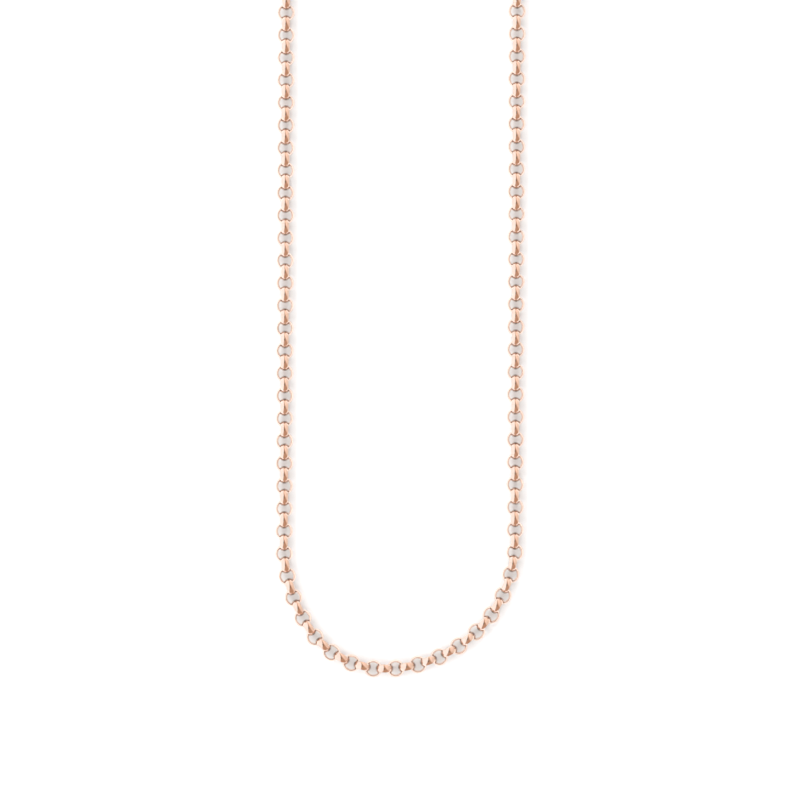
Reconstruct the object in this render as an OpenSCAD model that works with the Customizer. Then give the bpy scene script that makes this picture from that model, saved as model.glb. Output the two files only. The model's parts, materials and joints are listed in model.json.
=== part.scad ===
// Belcher (rolo) chain necklace, laid out flat in a long U with its clasp undone.
// Every link is a round ring of half-round section. Flat links and upright links
// alternate, and each link's own axis is a pivot for both of its neighbours.
// Millimetres, +Z up, resting on z = 0, origin under the middle of the whole outline.
// Links are counted outwards from link 0, at the bottom of the U: -1, -2 ... run up
// the left strand to the clasp, and 1, 2 ... run up the right strand to the end ring.

/* [Link] */
// Outside diameter of a link
link_d = 2.56; // [2.54:0.01:2.6]
// Diameter of a link's hole, at its narrowest
link_hole_d = 1.69; // [1.68:0.005:1.7]
// Width of the band that a link is made of
link_band = 1.06; // [0.9:0.01:1.15]
// Radius of the crown on the outside of the band
outer_crown_r = 0.85; // [0.83:0.01:1.2]
// Radius of the crown inside the hole
inner_crown_r = 0.95; // [0.93:0.01:1.05]
// Distance from one link to the next
link_pitch = 1.62; // [1.6:0.005:1.63]

/* [Layout] */
// Links in one hinged length of chain
links_per_length = 5; // [3:2:5]
// Hinged lengths on each side of the one at the bottom of the U
lengths_per_side = 26; // [8:2:26]
// Turn at each flat link where the left strand starts to bend, in degrees
turn_left = 8.25; // [6:0.25:10]
// Turn at each flat link around the lower left, in degrees
turn_lower_left = 14.4; // [12:0.2:15]
// Turn at each flat link along the bottom and the lower right, in degrees
turn_bottom = 9.6; // [8:0.2:11]
// Flat links in each of the first three stretches of the bend
bend_links = 4; // [3:1:5]
// Flat links in the last stretch, which takes the rest of the half turn
last_bend_links = 5; // [4:1:7]

/* [Jump rings and end ring] */
// Wire diameter of a jump ring
jump_wire_d = 0.4; // [0.36:0.02:0.4]
// Diameter of a jump ring, to the middle of its wire
jump_ring_d = 2.2; // [2.2:0.02:2.24]
// Wire diameter of the end ring
end_wire_d = 0.6; // [0.5:0.02:0.6]
// Diameter of the end ring, to the middle of its wire
end_ring_d = 4; // [3.6:0.1:4.6]

/* [Clasp] */
// Thickness of the clasp at its middle
clasp_t = 2.4; // [2.3:0.05:2.5]
// Radius across the clasp of its crowned faces
clasp_crown_r = 6; // [5.5:0.25:9]
// Outside radius of the claw
claw_r = 2.9; // [2.8:0.05:3]
// Inside radius of the claw
claw_hole_r = 1.75; // [1.7:0.05:1.8]
// Distance from the middle of the eye to the middle of the claw
claw_reach = 6; // [5.9:0.05:6.2]
// Mean diameter of the clasp's eye
eye_d = 2; // [1.9:0.05:2.1]
// Thickness of the eye's bar
eye_bar_d = 0.6; // [0.5:0.02:0.6]
// Thickness of the lever
lever_t = 1.1; // [1:0.05:1.2]
// Diameter of the rivet that the lever turns on
rivet_d = 0.7; // [0.6:0.05:0.8]

/* [Hidden] */
$fn = 96;
eps = 0.01;
running_gap = 0.05;      // between a wire and the hole it hangs in
metal = "#e0b49a";
steel = "#c4c6c9";

link_r = link_d / 2;
link_hole_r = link_hole_d / 2;
last_link = links_per_length * lengths_per_side + 1;

// The turn of the chain at each flat link of the bend, from the left strand to the right
first_turns = [turn_left, turn_lower_left, turn_bottom];
last_turn = (180 - bend_links * (turn_left + turn_lower_left + turn_bottom)) / last_bend_links;
turns = [
    for (t = first_turns) for (i = [1:bend_links]) t,
    for (i = [1:last_bend_links]) last_turn
];
links_left_of_zero = 2 * bend_links;   // flat links of the bend that lie left of link 0

function sum_from(list, first, last) = first > last ? 0 : list[first] + sum_from(list, first + 1, last);
function is_flat(i) = abs(i) % 2 == 1;
// which turn of the bend happens at link i, and the turn itself, 0 outside the bend
function turn_number(i) = i > 0 ? links_left_of_zero + (i - 1) / 2 : links_left_of_zero - (1 - i) / 2;
function turn_at(i) =
    let (n = turn_number(i))
    is_flat(i) && n >= 0 && n < len(turns) ? turns[n] : 0;

heading_zero = -90 + sum_from(turns, 0, links_left_of_zero - 1);
// Side +1 is the right strand and -1 the left one. A state is [x, y, heading] with the
// heading that the chain has, from left to right, after its turn at that link.
function next_state(s, side, i) =
    let (
        x = s[0] + side * link_pitch * cos(s[2]),
        y = s[1] + side * link_pitch * sin(s[2])
    )
    [x, y, s[2] + side * turn_at(i)];
function walk(side, count) = [
    for (n = 0, s = [0, 0, heading_zero]; n <= count; n = n + 1, s = next_state(s, side, side * n)) s
];
right_walk = walk(1, last_link);
left_walk = walk(-1, last_link);
function state_of(i) = i >= 0 ? right_walk[i] : left_walk[-i];
// A link's own heading splits the turn that happens at it
function heading_of(i) = state_of(i)[2] - (i > 0 ? 1 : -1) * turn_at(i) / 2;

left_top = left_walk[last_link];
right_top = right_walk[last_link];
chain_low = min([for (s = concat(left_walk, right_walk)) s[1]]) - link_r;

// Heights: the chain stands on its upright links, a jump ring on its own edge
chain_z = link_r;
jump_wire_r = jump_wire_d / 2;
jump_r = jump_ring_d / 2;
jump_z = jump_r + jump_wire_r;
clasp_z = clasp_t / 2;
eye_bar_r = eye_bar_d / 2;
end_wire_r = end_wire_d / 2;
end_r = end_ring_d / 2;

// Distances along the strand from the last link
jump_reach = link_hole_r - jump_wire_r - running_gap + jump_r;
eye_bar_reach = jump_reach + jump_r - jump_wire_r - running_gap - eye_bar_r;
eye_reach = eye_bar_reach + eye_d / 2;
end_bar_reach = jump_reach + jump_r - jump_wire_r - running_gap - end_wire_r;
end_tilt = asin((chain_z - end_wire_r) / end_ring_d);

chain_high = left_top[1] + eye_reach + claw_reach + claw_r;

// Clasp: its own axes have the eye at the origin and the claw towards +Y
pivot = [-1.3, 3.9];
boss_r = 0.8;
slot_r = 1.25;           // room for the lever's boss
slot_gap = 0.07;         // on each side of the lever
slot_half = lever_t / 2 + slot_gap;
slot_below = 1;          // how far the slot's opening reaches below the rivet
slot_above = 1.6;        // and above it
neck_half = 0.75;
shoulder_at = -40;       // where the neck's flare meets the claw, in degrees around its middle
lever_reach = 4;         // from the rivet to the end of the lever, which tucks in behind the claw's tip
mouth_from = 90;         // the mouth of the claw, in degrees around its middle
mouth_to = 214;
lever_tip_at = 104;      // where the lever is cut blunt
lever_in = 0.1;          // how far the lever lies inside the two faces of the claw
lever_bore_gap = 0.03;
lever_heel = [-0.1, -boss_r];     // corners of the lever's arm, from the rivet
lever_knee = [0.65, 0.3];
lever_fillet = [0.05, -0.1];      // blends the arm into the inside of the claw
nub_r = 0.42;
nub_at = [-2.75, 3.75];
rivet_recess = 0.2;      // from the middle of a face to the end of the rivet
spring_t = 0.12;
spring_half = 0.4;
spring_from = -80;
spring_to = 52;

// The outline runs from the lever's nub on the left to the end ring on the right
outline_left = left_top[0] + nub_at[0] - nub_r;
outline_right = right_top[0] + end_r + end_wire_r;
middle = [(outline_left + outline_right) / 2, (chain_low + chain_high) / 2];

// ---- chain ----

// Section of a link's band: crowned outside, crowned inside, cut off at the band's width
module band_section() {
    intersection() {
        translate([link_r - outer_crown_r, 0]) circle(r = outer_crown_r);
        translate([link_hole_r + inner_crown_r, 0]) circle(r = inner_crown_r);
        translate([link_hole_r - eps, -link_band / 2]) square([link_r, link_band]);
    }
}

module link() {
    rotate_extrude() band_section();
}

module placed_link(i) {
    s = state_of(i);
    translate([s[0] - middle[0], s[1] - middle[1], chain_z])
        rotate([0, 0, heading_of(i)])
            rotate([is_flat(i) ? 0 : 90, 0, 0])
                link();
}

module bottom_links() {
    half = floor(links_per_length / 2);
    color(metal) for (i = [-half:half]) placed_link(i);
}

// Length k of one strand, counted from the bottom. The last one gives up its end link,
// so that each strand ends in a flat link that an upright jump ring can hang in.
module strand_links(side, k) {
    first = links_per_length * (k - 1) + ceil(links_per_length / 2);
    last = min(first + links_per_length - 1, last_link);
    color(metal) for (n = [first:last]) placed_link(side * n);
}

// ---- rings ----

module wire_ring(mean_r, wire_r) {
    rotate_extrude() translate([mean_r, 0]) circle(r = wire_r, $fn = 48);
}

module at_strand_end(top, along, z) {
    translate([top[0] - middle[0], top[1] - middle[1] + along, z]) children();
}

module jump_ring(top) {
    color(metal) at_strand_end(top, jump_reach, jump_z) rotate([0, 90, 0]) wire_ring(jump_r, jump_wire_r);
}

module clasp_jump_ring() { jump_ring(left_top); }
module end_jump_ring() { jump_ring(right_top); }

// The end ring leans down from its jump ring to the surface
module end_ring() {
    color(metal)
        at_strand_end(right_top, end_bar_reach, chain_z)
            rotate([-end_tilt, 0, 0])
                translate([0, end_r, 0])
                    wire_ring(end_r, end_wire_r);
}

// ---- clasp ----

module in_clasp_place() {
    at_strand_end(left_top, eye_reach, clasp_z) children();
}

// Everything between two shallow crowns that meet the clasp's thickness on its middle line
module between_crowns() {
    drop_to_axis = clasp_crown_r - clasp_t / 2;
    past_the_ends = claw_reach;
    length = 3 * claw_reach;
    intersection() {
        children();
        translate([0, -past_the_ends, -drop_to_axis])
            rotate([-90, 0, 0]) cylinder(r = clasp_crown_r, h = length);
        translate([0, -past_the_ends, drop_to_axis])
            rotate([-90, 0, 0]) cylinder(r = clasp_crown_r, h = length);
    }
}

module plate(half) {
    translate([0, 0, -half]) linear_extrude(2 * half) children();
}

// A wedge around the middle of the claw
module claw_wedge(from, to) {
    reach = 2 * claw_r;
    mid = (from + to) / 2;
    translate([0, claw_reach])
        polygon([
            [0, 0],
            [reach * cos(from), reach * sin(from)],
            [reach * cos(mid), reach * sin(mid)],
            [reach * cos(to), reach * sin(to)]
        ]);
}

module claw_outline() {
    shoulder = [claw_r * cos(shoulder_at), claw_reach + claw_r * sin(shoulder_at)];
    neck_y = eye_d / 2 - eye_bar_r / 3;
    difference() {
        union() {
            translate([0, claw_reach]) circle(r = claw_r);
            polygon([
                [-neck_half, neck_y],
                [neck_half, neck_y],
                shoulder,
                [-shoulder[0], shoulder[1]]
            ]);
        }
        translate([0, claw_reach]) circle(r = claw_hole_r);
        intersection() {
            claw_wedge(mouth_from, mouth_to);
            translate(pivot) circle(r = lever_reach + running_gap);
        }
    }
}

module clasp_body() {
    color(metal) in_clasp_place() {
        difference() {
            union() {
                between_crowns() plate(clasp_t) claw_outline();
                wire_ring(eye_d / 2, eye_bar_r);
            }
            plate(slot_half) translate(pivot) circle(r = slot_r);
            plate(slot_half)
                translate([pivot[0] - claw_reach, pivot[1] - slot_below])
                    square([claw_reach, slot_below + slot_above]);
            translate([pivot[0], pivot[1], -clasp_t]) cylinder(d = rivet_d, h = 2 * clasp_t);
        }
    }
}

module lever_outline() {
    shut = mouth_to - 180;
    inside = [-claw_hole_r * cos(shut), claw_reach - claw_hole_r * sin(shut)];
    outside = [-(claw_r - lever_in) * cos(shut), claw_reach - (claw_r - lever_in) * sin(shut)];
    difference() {
        union() {
            intersection() {
                translate([0, claw_reach])
                    difference() {
                        circle(r = claw_r - lever_in);
                        circle(r = claw_hole_r + lever_in);
                    }
                claw_wedge(lever_tip_at, mouth_to);
                translate(pivot) circle(r = lever_reach);
            }
            translate(pivot) circle(r = boss_r);
            polygon([
                pivot + lever_heel,
                pivot + lever_knee,
                inside + lever_fillet,
                outside,
                nub_at + [0, nub_r],
                nub_at + [0, -nub_r]
            ]);
            translate(nub_at) circle(r = nub_r);
        }
        translate(pivot) circle(d = rivet_d + 2 * lever_bore_gap);
    }
}

module clasp_lever() {
    color(metal) in_clasp_place() plate(lever_t / 2) lever_outline();
}

module clasp_rivet() {
    half = clasp_t / 2 - rivet_recess;
    color(steel) in_clasp_place() translate([pivot[0], pivot[1], -half]) cylinder(d = rivet_d, h = 2 * half);
}

// A bent leaf between the rivet's boss and the wall of the slot
module clasp_spring() {
    bow_r = (boss_r + slot_r) / 2;
    color(steel) in_clasp_place() translate([pivot[0], pivot[1], -spring_half]) {
        rotate([0, 0, spring_from])
            rotate_extrude(angle = spring_to - spring_from)
                translate([bow_r - spring_t / 2, 0])
                    square([spring_t, 2 * spring_half]);
        rotate([0, 0, spring_from])
            translate([bow_r - eps, 0, 0])
                cube([slot_r - bow_r - eps, spring_t, 2 * spring_half]);
        rotate([0, 0, spring_to])
            translate([boss_r + eps, -spring_t, 0])
                cube([bow_r - boss_r, spring_t, 2 * spring_half]);
    }
}

bottom_links();
for (k = [1:lengths_per_side]) {
    strand_links(-1, k);
    strand_links(1, k);
}
clasp_jump_ring();
clasp_body();
clasp_lever();
clasp_rivet();
clasp_spring();
end_jump_ring();
end_ring();
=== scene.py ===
"""Looks for a belcher chain necklace laid out flat on a white table.

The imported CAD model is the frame. Every ring is rebuilt as a fine mesh from the ring
that it replaces, the clasp's parts are remeshed with soft edges, and all of them get
procedural metals. All lengths are in metres, in the frame of the CAD model.
"""

import json
import math
import random

import bpy
import bmesh
import numpy as np
from mathutils import Matrix, Vector


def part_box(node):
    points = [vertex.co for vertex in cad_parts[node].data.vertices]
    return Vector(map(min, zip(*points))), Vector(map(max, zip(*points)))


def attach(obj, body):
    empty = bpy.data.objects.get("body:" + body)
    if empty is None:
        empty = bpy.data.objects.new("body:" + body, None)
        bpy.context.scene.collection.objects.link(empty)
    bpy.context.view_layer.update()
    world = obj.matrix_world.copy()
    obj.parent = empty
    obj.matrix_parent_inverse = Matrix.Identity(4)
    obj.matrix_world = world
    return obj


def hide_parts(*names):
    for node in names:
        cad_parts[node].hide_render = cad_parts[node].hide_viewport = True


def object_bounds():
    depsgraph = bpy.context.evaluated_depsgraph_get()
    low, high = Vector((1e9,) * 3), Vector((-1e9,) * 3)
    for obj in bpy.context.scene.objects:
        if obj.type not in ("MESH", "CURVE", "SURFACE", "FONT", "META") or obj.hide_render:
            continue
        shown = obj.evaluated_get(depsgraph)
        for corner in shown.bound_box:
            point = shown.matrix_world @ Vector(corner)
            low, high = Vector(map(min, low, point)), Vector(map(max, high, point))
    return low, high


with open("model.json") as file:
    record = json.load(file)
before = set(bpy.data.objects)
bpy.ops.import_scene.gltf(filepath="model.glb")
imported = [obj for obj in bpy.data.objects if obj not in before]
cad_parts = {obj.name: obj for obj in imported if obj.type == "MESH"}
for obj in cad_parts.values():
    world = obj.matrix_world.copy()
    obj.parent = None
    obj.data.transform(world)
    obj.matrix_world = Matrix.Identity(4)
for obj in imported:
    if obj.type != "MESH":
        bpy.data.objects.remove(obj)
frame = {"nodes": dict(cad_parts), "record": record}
cad_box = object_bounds()

MM = 0.001
SEED = 11

# ---- camera ----

VIEW_WIDTH = 115.0 * MM          # width of the picture, measured in the middle of the chain
CAMERA_UP = 1.0                  # metres above the chain
CAMERA_ROLL = math.radians(0.23)
BELOW_CENTRE = 39.9 * MM         # from the picture's middle down to the bottom of the chain
SENSOR = 36.0
NEAREST, FARTHEST = 0.05, 20     # metres that the camera sees

# ---- chain ----

AROUND_LINK = 72                 # faces around a link
OUTER_STEPS = 11                 # faces across the outer crown of its band
INNER_STEPS = 9                  # faces across the inner crown
EDGE_ROUND = 0.02 * MM           # radius of the soft edges of the band
AROUND_WIRE = 24                 # faces around the section of a wire
AROUND_JUMP_RING = 96
AROUND_END_RING = 128
SAME_LINK = 0.1 * MM             # two middles this close belong to one link
NEXT_LINK = 2.2 * MM             # a link whose middle is this close is a neighbour
LINK_SHADE_INSIDE = 0.60 * MM           # painted shade is full this close to the middle of the next link
LINK_SHADE_OUTSIDE = 0.95 * MM          # no painted shade beyond this
SEAM_GAP = 0.025 * MM            # slit where a jump ring's ends meet
CLASP_VOXEL = 0.045 * MM         # finest detail that is left on each cast part
RIVET_VOXEL = 0.03 * MM
SPRING_VOXEL = 0.025 * MM
WELD = 0.0005 * MM               # points this close are one point


def node_box(name):
    low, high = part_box(name)
    return Vector(low), Vector(high)


def set_camera():
    low, high = node_box("bottom_links")
    left = node_box("left_links_5")
    right = node_box("right_links_5")
    middle_x = (left[0].x + left[1].x + right[0].x + right[1].x) / 4
    data = bpy.data.cameras.new("camera")
    data.sensor_width = SENSOR
    data.lens = SENSOR * CAMERA_UP / VIEW_WIDTH
    data.clip_start = NEAREST
    data.clip_end = FARTHEST
    camera = bpy.data.objects.new("camera", data)
    chain_z = (low.z + high.z) / 2
    camera.location = (middle_x, low.y + BELOW_CENTRE, chain_z + CAMERA_UP)
    camera.rotation_euler = (0, 0, CAMERA_ROLL)
    bpy.context.scene.collection.objects.link(camera)
    bpy.context.scene.camera = camera


set_camera()

# ---- small node helpers ----


class Tree:
    """Short names for building a shader."""

    def __init__(self, tree):
        self.tree = tree
        tree.nodes.clear()

    def node(self, kind, **settings):
        n = self.tree.nodes.new(kind)
        for key, value in settings.items():
            setattr(n, key, value)
        return n

    def link(self, a, b):
        self.tree.links.new(a, b)

    def feed(self, socket, value):
        if isinstance(value, bpy.types.NodeSocket):
            self.link(value, socket)
        else:
            socket.default_value = value

    def math(self, operation, a, b=0.0, c=0.0, clamp=False):
        n = self.node("ShaderNodeMath", operation=operation, use_clamp=clamp)
        self.feed(n.inputs[0], a)
        self.feed(n.inputs[1], b)
        self.feed(n.inputs[2], c)
        return n.outputs[0]

    def ramp(self, value, low, high, out_low=0.0, out_high=1.0):
        n = self.node("ShaderNodeMapRange", interpolation_type="SMOOTHSTEP")
        self.feed(n.inputs["Value"], value)
        n.inputs["From Min"].default_value = low
        n.inputs["From Max"].default_value = high
        n.inputs["To Min"].default_value = out_low
        n.inputs["To Max"].default_value = out_high
        return n.outputs["Result"]

    def mix_colour(self, factor, a, b, blend="MIX"):
        n = self.node("ShaderNodeMix", data_type="RGBA", blend_type=blend)
        self.feed(n.inputs[0], factor)
        self.feed(n.inputs[6], a)
        self.feed(n.inputs[7], b)
        return n.outputs[2]

    def noise(self, coordinates, size, detail=2.0, rough=0.5):
        n = self.node("ShaderNodeTexNoise")
        self.link(coordinates, n.inputs["Vector"])
        n.inputs["Scale"].default_value = 1.0 / size
        n.inputs["Detail"].default_value = detail
        n.inputs["Roughness"].default_value = rough
        return n.outputs["Fac"]

    def scaled(self, coordinates, scale):
        n = self.node("ShaderNodeMapping")
        self.link(coordinates, n.inputs["Vector"])
        n.inputs["Scale"].default_value = scale
        return n.outputs["Vector"]

    def bump(self, height, strength, distance, normal=None):
        n = self.node("ShaderNodeBump")
        n.inputs["Strength"].default_value = strength
        n.inputs["Distance"].default_value = distance
        self.link(height, n.inputs["Height"])
        if normal is not None:
            self.link(normal, n.inputs["Normal"])
        return n.outputs["Normal"]


# ---- metals ----

ROSE = (0.93, 0.77, 0.68)
ROSE_DEEP = (0.91, 0.72, 0.62)
LINK_SHADE_GREY = (0.48, 0.43, 0.40)      # painted shade: grey where the links meet one another
SOLDER = (0.80, 0.62, 0.47)
STEEL = (0.78, 0.78, 0.79)
SPRING_STEEL = (0.62, 0.62, 0.63)
CLOUD_SIZE = 0.9 * MM            # slow changes of tone
HAZE_SIZE = 0.35 * MM            # patches of duller polish
DENT_SIZE = 0.55 * MM
DENT_DEPTH = 0.02 * MM
SCRATCHES = ((0.6, 0.30 * MM), (-0.9, 0.42 * MM))    # direction and spacing
SCRATCH_DEPTH = 0.003 * MM
POLISH_LINES = (3.0, 60.0, 1.0)  # how many along, across and through a ring's band
LINE_DEPTH = 0.004 * MM
SEAM_DEPTH = 0.006 * MM
GRAIN_SIZE = 0.08 * MM           # grain of the steel
GRAIN_DEPTH = 0.004 * MM
MIRROR, HAZY = 0.085, 0.05       # roughness of the best polish, and what haze adds to it


def rose_gold(name, ring_lines, seam, paint_link_shade):
    """Polished rose gold. ring_lines adds the fine lines left around a ring by polishing,
    and seam the solder joint of a ring, both laid out along the ring's own UVs. The last flag
    paints shade: it greys the metal where the value stored in the mesh says that the next link
    meets it."""
    material = bpy.data.materials.new(name)
    material.use_nodes = True
    t = Tree(material.node_tree)
    out = t.node("ShaderNodeOutputMaterial")
    metal = t.node("ShaderNodeBsdfPrincipled")
    t.link(metal.outputs[0], out.inputs[0])
    metal.inputs["Metallic"].default_value = 1.0
    place = t.node("ShaderNodeTexCoord")
    here = place.outputs["Object"]
    uv = place.outputs["UV"]

    cloud = t.noise(here, CLOUD_SIZE, 3.0, 0.55)
    tone = t.node("ShaderNodeAttribute", attribute_name="tone").outputs["Fac"]
    shade = t.math("MULTIPLY_ADD", cloud, 0.7, t.math("MULTIPLY", tone, 0.3), clamp=True)
    colour = t.mix_colour(t.ramp(shade, 0.25, 0.75), (*ROSE, 1), (*ROSE_DEEP, 1))

    # fine random scratches: two stretched noises, cut to thin threads
    scratch = None
    for turn, size in SCRATCHES:
        spin = t.node("ShaderNodeMapping")
        t.link(here, spin.inputs["Vector"])
        spin.inputs["Rotation"].default_value = (turn, turn * 0.7, turn * 1.3)
        spin.inputs["Scale"].default_value = (1.0, 14.0, 3.0)
        threads = t.noise(spin.outputs["Vector"], size, 1.0, 0.4)
        near = t.math("ABSOLUTE", t.math("SUBTRACT", threads, 0.5))
        thread = t.ramp(near, 0.0, 0.012, 1.0, 0.0)
        scratch = thread if scratch is None else t.math("MAXIMUM", scratch, thread)

    haze = t.noise(here, HAZE_SIZE, 2.0, 0.6)
    rough = t.math("MULTIPLY_ADD", t.ramp(haze, 0.35, 0.75), HAZY, MIRROR)
    rough = t.math("MULTIPLY_ADD", scratch, 0.06, rough)
    dent = t.noise(here, DENT_SIZE, 1.0, 0.4)
    normal = t.bump(dent, 0.55, DENT_DEPTH)
    if ring_lines:
        lines = t.noise(t.scaled(uv, POLISH_LINES), 1.0, 2.0, 0.6)
        normal = t.bump(lines, 0.10, LINE_DEPTH, normal)
        rough = t.math("MULTIPLY_ADD", lines, 0.03, rough)
    normal = t.bump(scratch, 0.12, SCRATCH_DEPTH, normal)
    # Painted shade between links: the metal is greyed and made rougher where the next link meets
    # it.
    if paint_link_shade:
        link_shade = t.node("ShaderNodeAttribute", attribute_name="link_shade").outputs["Fac"]
        link_shade = t.math("MULTIPLY", link_shade, t.ramp(cloud, 0.2, 0.6, 0.7, 0.95))
        colour = t.mix_colour(link_shade, colour, (*LINK_SHADE_GREY, 1))
        rough = t.math("MULTIPLY_ADD", link_shade, 0.10, rough)
    if seam:
        u = t.node("ShaderNodeSeparateXYZ")
        t.link(uv, u.inputs[0])
        off = t.math("ABSOLUTE", t.math("SUBTRACT", u.outputs["X"], 0.5))
        joint = t.ramp(off, 0.002, 0.008, 1.0, 0.0)
        colour = t.mix_colour(t.math("MULTIPLY", joint, 0.45), colour, (*SOLDER, 1))
        rough = t.math("MULTIPLY_ADD", joint, 0.12, rough)
        normal = t.bump(joint, 0.2, SEAM_DEPTH, normal)
    t.link(colour, metal.inputs["Base Color"])
    t.link(rough, metal.inputs["Roughness"])
    t.link(normal, metal.inputs["Normal"])
    return material


def steel(name, colour, brushed):
    """Steel of the rivet and the spring: turned end faces or a rolled, lightly brushed leaf."""
    material = bpy.data.materials.new(name)
    material.use_nodes = True
    t = Tree(material.node_tree)
    out = t.node("ShaderNodeOutputMaterial")
    metal = t.node("ShaderNodeBsdfPrincipled")
    t.link(metal.outputs[0], out.inputs[0])
    metal.inputs["Metallic"].default_value = 1.0
    here = t.node("ShaderNodeTexCoord").outputs["Object"]
    stretch = (1.0, 1.0, 9.0) if brushed else (1.0, 1.0, 1.0)
    grain = t.noise(t.scaled(here, stretch), GRAIN_SIZE, 3.0, 0.6)
    cloud = t.noise(here, 0.5 * MM, 2.0, 0.5)
    darker = tuple(c * 0.82 for c in colour)
    t.link(t.mix_colour(cloud, (*colour, 1), (*darker, 1)), metal.inputs["Base Color"])
    low, high = (0.22, 0.42) if brushed else (0.10, 0.22)
    t.link(t.ramp(grain, 0.3, 0.7, low, high), metal.inputs["Roughness"])
    t.link(t.bump(grain, 0.25, GRAIN_DEPTH), metal.inputs["Normal"])
    return material


link_metal = rose_gold("link_rose_gold", ring_lines=True, seam=True, paint_link_shade=True)
wire_metal = rose_gold("wire_rose_gold", ring_lines=True, seam=False, paint_link_shade=False)
cast_metal = rose_gold("cast_rose_gold", ring_lines=False, seam=False, paint_link_shade=False)
rivet_metal = steel("rivet_steel", STEEL, brushed=False)
spring_metal = steel("spring_steel", SPRING_STEEL, brushed=True)

# ---- rings found in the CAD nodes ----


def loose_parts(mesh):
    """Point sets of the separate solids in a mesh whose vertices may be split along edges."""
    co = np.empty(len(mesh.vertices) * 3)
    mesh.vertices.foreach_get("co", co)
    co = co.reshape(-1, 3)
    steps = np.round(co / WELD).astype(np.int64)
    keys, welded = np.unique(steps, axis=0, return_inverse=True)
    welded = welded.ravel()
    root = list(range(len(keys)))

    def find(i):
        while root[i] != i:
            root[i] = root[root[i]]
            i = root[i]
        return i

    corners = np.empty(len(mesh.loops), np.int64)
    mesh.loops.foreach_get("vertex_index", corners)
    corners = welded[corners]
    for polygon in mesh.polygons:
        s = polygon.loop_start
        first = find(corners[s])
        for k in range(1, polygon.loop_total):
            root[find(corners[s + k])] = first
    groups = {}
    spots = keys * WELD
    for i in range(len(keys)):
        groups.setdefault(find(i), []).append(i)
    return [spots[g] for g in groups.values()]


def ring_frame(points):
    """Place of a ring, from its points: centre, and axis as local Z. The axis of a flat ring
    points up and that of an upright one towards +X."""
    centre = (points.min(0) + points.max(0)) / 2
    spread, directions = np.linalg.eigh(np.cov((points - centre).T))
    axis = Vector(directions[:, 0]).normalized()
    if abs(axis.z) > 0.7:
        axis = axis * (1 if axis.z > 0 else -1)
    elif axis.x < 0:
        axis = -axis
    across = Vector((0, 0, 1)).cross(axis)
    if across.length < 0.2:
        across = Vector((1, 0, 0))
    across = (across - axis * across.dot(axis)).normalized()
    turn = Matrix((across, axis.cross(across), axis)).transposed().to_4x4()
    return Matrix.Translation(Vector(centre)) @ turn


def in_ring(points, place):
    """Distance from the axis and height along it, for each point."""
    back = np.array(place.inverted())
    local = points @ back[:3, :3].T + back[:3, 3]
    return np.hypot(local[:, 0], local[:, 1]), local[:, 2]


def arc(x_mid, x_edge, half, steps):
    """Points of a shallow arc through (x_mid, 0) and (x_edge, +-half), from -half to +half,
    closer together near its two ends."""
    sag = abs(x_mid - x_edge)
    r = (half * half + sag * sag) / (2 * sag)
    side = 1 if x_mid > x_edge else -1
    centre = x_mid - side * r
    points = []
    for k in range(steps + 1):
        f = -math.cos(math.pi * k / steps)
        f = 0.55 * f + 0.45 * (2 * k / steps - 1)
        z = half * f
        points.append((centre + side * math.sqrt(r * r - z * z), z))
    return points


def link_section(radial, height):
    """The crowned section of a link's band with soft edges, read from the CAD ring."""
    half = height.max()
    edge = radial[height > half * 0.999]
    outer = arc(radial.max(), edge.max(), half, OUTER_STEPS)
    inner = arc(radial.min(), edge.min(), half, INNER_STEPS)
    out_x, in_x = outer[-1][0], inner[-1][0]
    soft = min(EDGE_ROUND, (out_x - in_x) / 3)
    shoulder = half - soft
    bevel = soft * 0.3
    outer[0], outer[-1] = (out_x, -shoulder), (out_x, shoulder)
    inner[0], inner[-1] = (in_x, -shoulder), (in_x, shoulder)
    top = [
        (out_x - bevel, half - bevel), (out_x - soft, half),
        (in_x + soft, half), (in_x + bevel, half - bevel),
    ]
    under = [(x, -z) for x, z in top[::-1]]
    return outer + top + inner[::-1] + under


def wire_section(radial, height):
    """A round wire."""
    r = (height.max() - height.min()) / 2
    mean = (radial.max() + radial.min()) / 2
    steps = [2 * math.pi * k / AROUND_WIRE for k in range(AROUND_WIRE)]
    return [(mean + r * math.cos(a), r * math.sin(a)) for a in steps]


def add_ring(bm, uv_layer, tone_layer, section, place, around, spin, tone, slit=0.0):
    """Sweeps a section round a ring. With a slit the ring is cut and its two ends are capped."""
    open_ring = slit > 0
    mean = sum(p[0] for p in section) / len(section)
    start = slit / mean / 2
    span = 2 * math.pi - 2 * start
    count = around + 1 if open_ring else around
    loops = []
    for i in range(count):
        a = spin + start + span * i / around
        c, s = math.cos(a), math.sin(a)
        row = [bm.verts.new(place @ Vector((r * c, r * s, h))) for r, h in section]
        for v in row:
            v[tone_layer] = tone
        loops.append(row)
    n = len(section)
    for i in range(around):
        here = loops[i]
        there = loops[(i + 1) % count]
        for k in range(n):
            m = (k + 1) % n
            face = bm.faces.new((here[k], there[k], there[m], here[m]))
            face.smooth = True
            corners = ((i, k), (i + 1, k), (i + 1, k + 1), (i, k + 1))
            for loop, (u, v) in zip(face.loops, corners):
                loop[uv_layer].uv = (u / around, v / n)
    if open_ring:
        bm.faces.new(loops[0])
        bm.faces.new(loops[-1][::-1])


def body_of_node(node):
    for body, members in frame["record"]["behaviour"]["bodies"].items():
        if node in members:
            return body
    raise ValueError(node)


def new_piece(name, bm, material, node):
    """A finished piece that stands in for a CAD node and moves with its body."""
    bmesh.ops.recalc_face_normals(bm, faces=bm.faces)
    mesh = bpy.data.meshes.new(name)
    bm.to_mesh(mesh)
    bm.free()
    mesh.materials.append(material)
    piece = bpy.data.objects.new(name, mesh)
    bpy.context.scene.collection.objects.link(piece)
    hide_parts(node)
    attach(piece, body_of_node(node))


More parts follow.
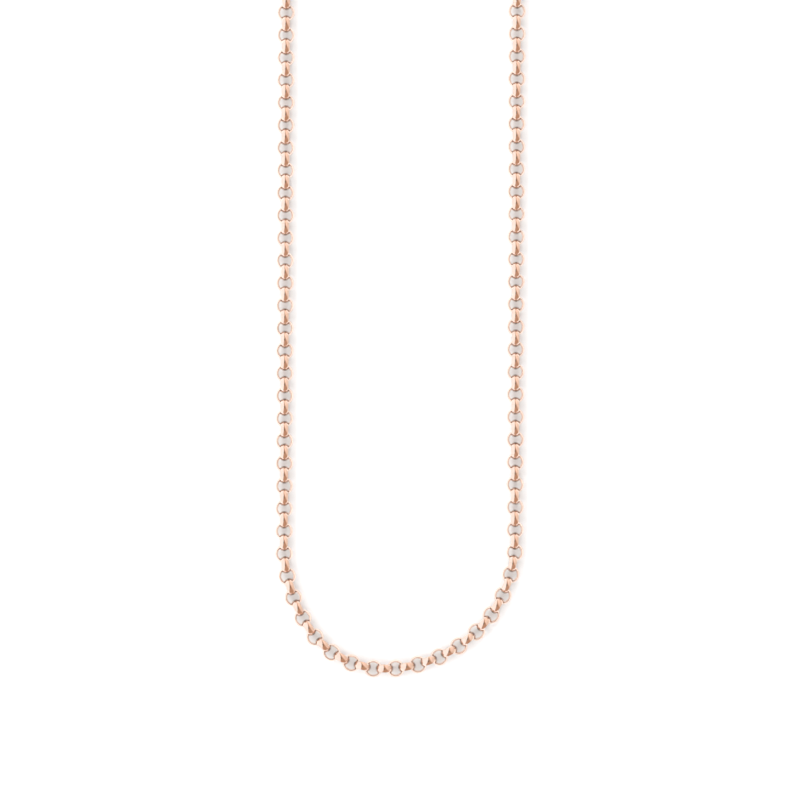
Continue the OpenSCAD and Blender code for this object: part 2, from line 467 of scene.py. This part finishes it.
def mark_link_shade(bm, own_centre, first_vertex, link_shade_layer):
    """Marks how close each new vertex is to the middle of the nearest other link, which is
    where two links touch. The value places the painted shade between links."""
    others = [c for c in link_centres if SAME_LINK < (c - own_centre).length < NEXT_LINK]
    bm.verts.ensure_lookup_table()
    for v in bm.verts[first_vertex:]:
        near = min((v.co - c).length for c in others)
        v[link_shade_layer] = min(1.0, max(0.0, (LINK_SHADE_OUTSIDE - near) / (LINK_SHADE_OUTSIDE - LINK_SHADE_INSIDE)))


def rebuild_links(node, dice):
    """All links of a node as one piece of separate rings."""
    bm = bmesh.new()
    uv_layer = bm.loops.layers.uv.new("UVMap")
    tone_layer = bm.verts.layers.float.new("tone")
    # nearness of other links, which places the painted shade where links meet
    link_shade_layer = bm.verts.layers.float.new("link_shade")
    for points in link_points[node]:
        place = ring_frame(points)
        section = link_section(*in_ring(points, place))
        first_vertex = len(bm.verts)
        add_ring(
            bm, uv_layer, tone_layer, section, place, AROUND_LINK,
            spin=dice.uniform(0, 2 * math.pi), tone=dice.random(),
        )
        mark_link_shade(bm, place.translation, first_vertex, link_shade_layer)
    new_piece(node + "_fine", bm, link_metal, node)


def rebuild_wire_ring(node, dice, spin, slit, around):
    """A ring of round wire. spin says where its slit, if it has one, is."""
    bm = bmesh.new()
    uv_layer = bm.loops.layers.uv.new("UVMap")
    tone_layer = bm.verts.layers.float.new("tone")
    points = loose_parts(frame["nodes"][node].data)[0]
    place = ring_frame(points)
    section = wire_section(*in_ring(points, place))
    add_ring(
        bm, uv_layer, tone_layer, section, place, around,
        spin=spin, tone=dice.random(), slit=slit,
    )
    new_piece(node + "_fine", bm, wire_metal, node)


dice = random.Random(SEED)
link_nodes = [n for n in sorted(frame["nodes"]) if "_links" in n]
link_points = {n: loose_parts(frame["nodes"][n].data) for n in link_nodes}
link_centres = [ring_frame(points).translation for n in link_nodes for points in link_points[n]]
for node in link_nodes:
    rebuild_links(node, dice)
rebuild_wire_ring("clasp_jump_ring", dice, spin=0.4, slit=SEAM_GAP, around=AROUND_JUMP_RING)
rebuild_wire_ring("end_jump_ring", dice, spin=2.2, slit=SEAM_GAP, around=AROUND_JUMP_RING)
rebuild_wire_ring("end_ring", dice, spin=1.0, slit=0.0, around=AROUND_END_RING)

# ---- clasp ----


def cast_part(node, material, voxel, polish):
    """A copy of a CAD part, remeshed evenly and relaxed, as a cast and polished part is.
    polish is the number of smoothing rounds."""
    mesh = frame["nodes"][node].data.copy()
    mesh.materials.clear()
    mesh.materials.append(material)
    piece = bpy.data.objects.new(node + "_cast", mesh)
    bpy.context.scene.collection.objects.link(piece)
    weld = piece.modifiers.new("weld", "WELD")
    weld.merge_threshold = WELD
    remesh = piece.modifiers.new("remesh", "REMESH")
    remesh.mode = "VOXEL"
    remesh.voxel_size = voxel
    remesh.use_smooth_shade = True
    relax = piece.modifiers.new("relax", "SMOOTH")
    relax.factor = 0.5
    relax.iterations = polish
    bpy.context.view_layer.update()
    evaluated = piece.evaluated_get(bpy.context.evaluated_depsgraph_get())
    shaped = bpy.data.meshes.new_from_object(evaluated)
    piece.modifiers.clear()
    piece.data = shaped
    bpy.data.meshes.remove(mesh)
    shaped.materials.clear()
    shaped.materials.append(material)
    for polygon in shaped.polygons:
        polygon.use_smooth = True
    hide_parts(node)
    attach(piece, body_of_node(node))


cast_part("clasp_body", cast_metal, CLASP_VOXEL, polish=14)
cast_part("clasp_lever", cast_metal, CLASP_VOXEL, polish=8)
cast_part("clasp_rivet", rivet_metal, RIVET_VOXEL, polish=3)
cast_part("clasp_spring", spring_metal, SPRING_VOXEL, polish=1)

# ---- table ----

TABLE_SIDE = 3.0
TABLE_BELOW = 0.02 * MM          # just under the links, so that nothing cuts into it
TABLE_DARKER = (0.93, 0.93, 0.935)
TABLE_LIGHTER = (0.95, 0.95, 0.95)


def make_table():
    """A plain sheet of matt white paper under the chain."""
    material = bpy.data.materials.new("white_table")
    material.use_nodes = True
    t = Tree(material.node_tree)
    out = t.node("ShaderNodeOutputMaterial")
    paper = t.node("ShaderNodeBsdfPrincipled")
    t.link(paper.outputs[0], out.inputs[0])
    here = t.node("ShaderNodeTexCoord").outputs["Object"]
    grain = t.noise(here, 1.5 * MM, 2.0, 0.5)
    colour = t.mix_colour(grain, (*TABLE_DARKER, 1), (*TABLE_LIGHTER, 1))
    t.link(colour, paper.inputs["Base Color"])
    paper.inputs["Roughness"].default_value = 0.9
    paper.inputs["Specular IOR Level"].default_value = 0.1
    bm = bmesh.new()
    bmesh.ops.create_grid(bm, x_segments=8, y_segments=8, size=TABLE_SIDE / 2)
    mesh = bpy.data.meshes.new("table")
    bm.to_mesh(mesh)
    bm.free()
    mesh.materials.append(material)
    table = bpy.data.objects.new("table", mesh)
    table.location = (0, 0, cad_box[0].z - TABLE_BELOW)
    bpy.context.scene.collection.objects.link(table)


make_table()

# ---- light ----

# what the metal mirrors
LEFT_BOX = 1.12                  # brightness of the box on the left
RIGHT_NEAR = 1.12                # of the box on the right, where it starts
RIGHT_FAR = 0.88                 # and far down to the right
RIGHT_COLOUR = (1.0, 0.83, 0.72, 1)
DIM_ROOM = 0.54                  # of the rest of the room
DIM_COLOUR = (1.0, 0.60, 0.41, 1)
OVERHEAD = 0.15                  # how much is left of it in the middle of the dark spot
SPOT_CENTRE = (-0.02, -0.02)     # of the dark spot, as a direction's X and Y
SPOT_SIZE = (0.17, 0.36)
# what lights the table
LAMP_AIM = Vector((0, -0.05, 0))
LAMP_AWAY = 1.2
LAMP_SIDE = 0.45
# rings of lamps, as elevation in degrees, number of lamps and watts
LAMP_RINGS = ((20, 8, 8.5), (40, 8, 14.0), (60, 6, 8.8), (80, 2, 2.0))
LEFT_BIAS = 0.35                 # how much more of the light comes from the left


def make_world():
    """A studio with a bright box along the whole left side and a warmer one to the upper right.
    It is dark right overhead, where the camera stands, and dim and warm at the viewer's feet.
    It does not light the table: the lamps do."""
    world = bpy.data.worlds.new("studio")
    bpy.context.scene.world = world
    world.use_nodes = True
    world.cycles_visibility.diffuse = False
    t = Tree(world.node_tree)
    out = t.node("ShaderNodeOutputWorld")
    back = t.node("ShaderNodeBackground")
    t.link(back.outputs[0], out.inputs[0])
    towards = t.node("ShaderNodeTexCoord").outputs["Generated"]
    split = t.node("ShaderNodeSeparateXYZ")
    t.link(towards, split.inputs[0])
    x, y, z = split.outputs
    feet = t.math("MAXIMUM", t.math("MULTIPLY", y, -1.0), 0.0)
    to_left = t.math("SUBTRACT", t.math("MULTIPLY", x, -1.0), t.math("MULTIPLY", feet, 0.18))
    left = t.ramp(to_left, 0.07, 0.21)
    to_right = t.math("ADD", t.math("MULTIPLY", x, 0.885), t.math("MULTIPLY", y, 0.468))
    right = t.ramp(to_right, 0.28, 0.52)
    right_level = t.ramp(x, 0.2, 0.95, RIGHT_NEAR, RIGHT_FAR)
    level = t.math("MULTIPLY_ADD", left, LEFT_BOX - DIM_ROOM, DIM_ROOM)
    lift = t.math("MULTIPLY", right, t.math("SUBTRACT", right_level, DIM_ROOM))
    level = t.math("ADD", level, lift)
    off_x = t.math("DIVIDE", t.math("SUBTRACT", x, SPOT_CENTRE[0]), SPOT_SIZE[0])
    off_y = t.math("DIVIDE", t.math("SUBTRACT", y, SPOT_CENTRE[1]), SPOT_SIZE[1])
    squares = t.math("ADD", t.math("MULTIPLY", off_x, off_x), t.math("MULTIPLY", off_y, off_y))
    spot = t.ramp(t.math("SQRT", squares), 0.5, 1.15, OVERHEAD, 1.0)
    up = t.ramp(z, 0.0, 0.2)
    shade = t.math("ADD", t.math("MULTIPLY", spot, up), t.math("SUBTRACT", 1.0, up))
    t.link(t.math("MULTIPLY", level, shade), back.inputs["Strength"])
    colour = t.mix_colour(left, DIM_COLOUR, (1, 1, 1, 1))
    t.link(t.mix_colour(right, colour, RIGHT_COLOUR), back.inputs["Color"])


def lamp(name, azimuth, elevation, side, watts):
    """A square soft lamp around the object that lights the table but isn't mirrored in the metal.
    Azimuth is counted from +X towards +Y."""
    data = bpy.data.lights.new(name, "AREA")
    data.shape = "SQUARE"
    data.size = side
    data.energy = watts
    a, e = math.radians(azimuth), math.radians(elevation)
    away = Vector((math.cos(a) * math.cos(e), math.sin(a) * math.cos(e), math.sin(e)))
    shade = bpy.data.objects.new(name, data)
    shade.location = LAMP_AIM + away * LAMP_AWAY
    shade.rotation_euler = away.to_track_quat("Z", "Y").to_euler()
    shade.visible_glossy = False
    bpy.context.scene.collection.objects.link(shade)


def make_lamps():
    """Rings of lamps one above the other, together an even dome that is brighter on the left."""
    for elevation, count, watts in LAMP_RINGS:
        for number in range(count):
            azimuth = 360 * (number + 0.5) / count
            share = (1 - LEFT_BIAS * math.cos(math.radians(azimuth))) / count
            lamp(f"lamp_{elevation}_{number}", azimuth, elevation, LAMP_SIDE, share * watts)


make_world()
make_lamps()
bpy.context.scene.view_settings.view_transform = "Standard"
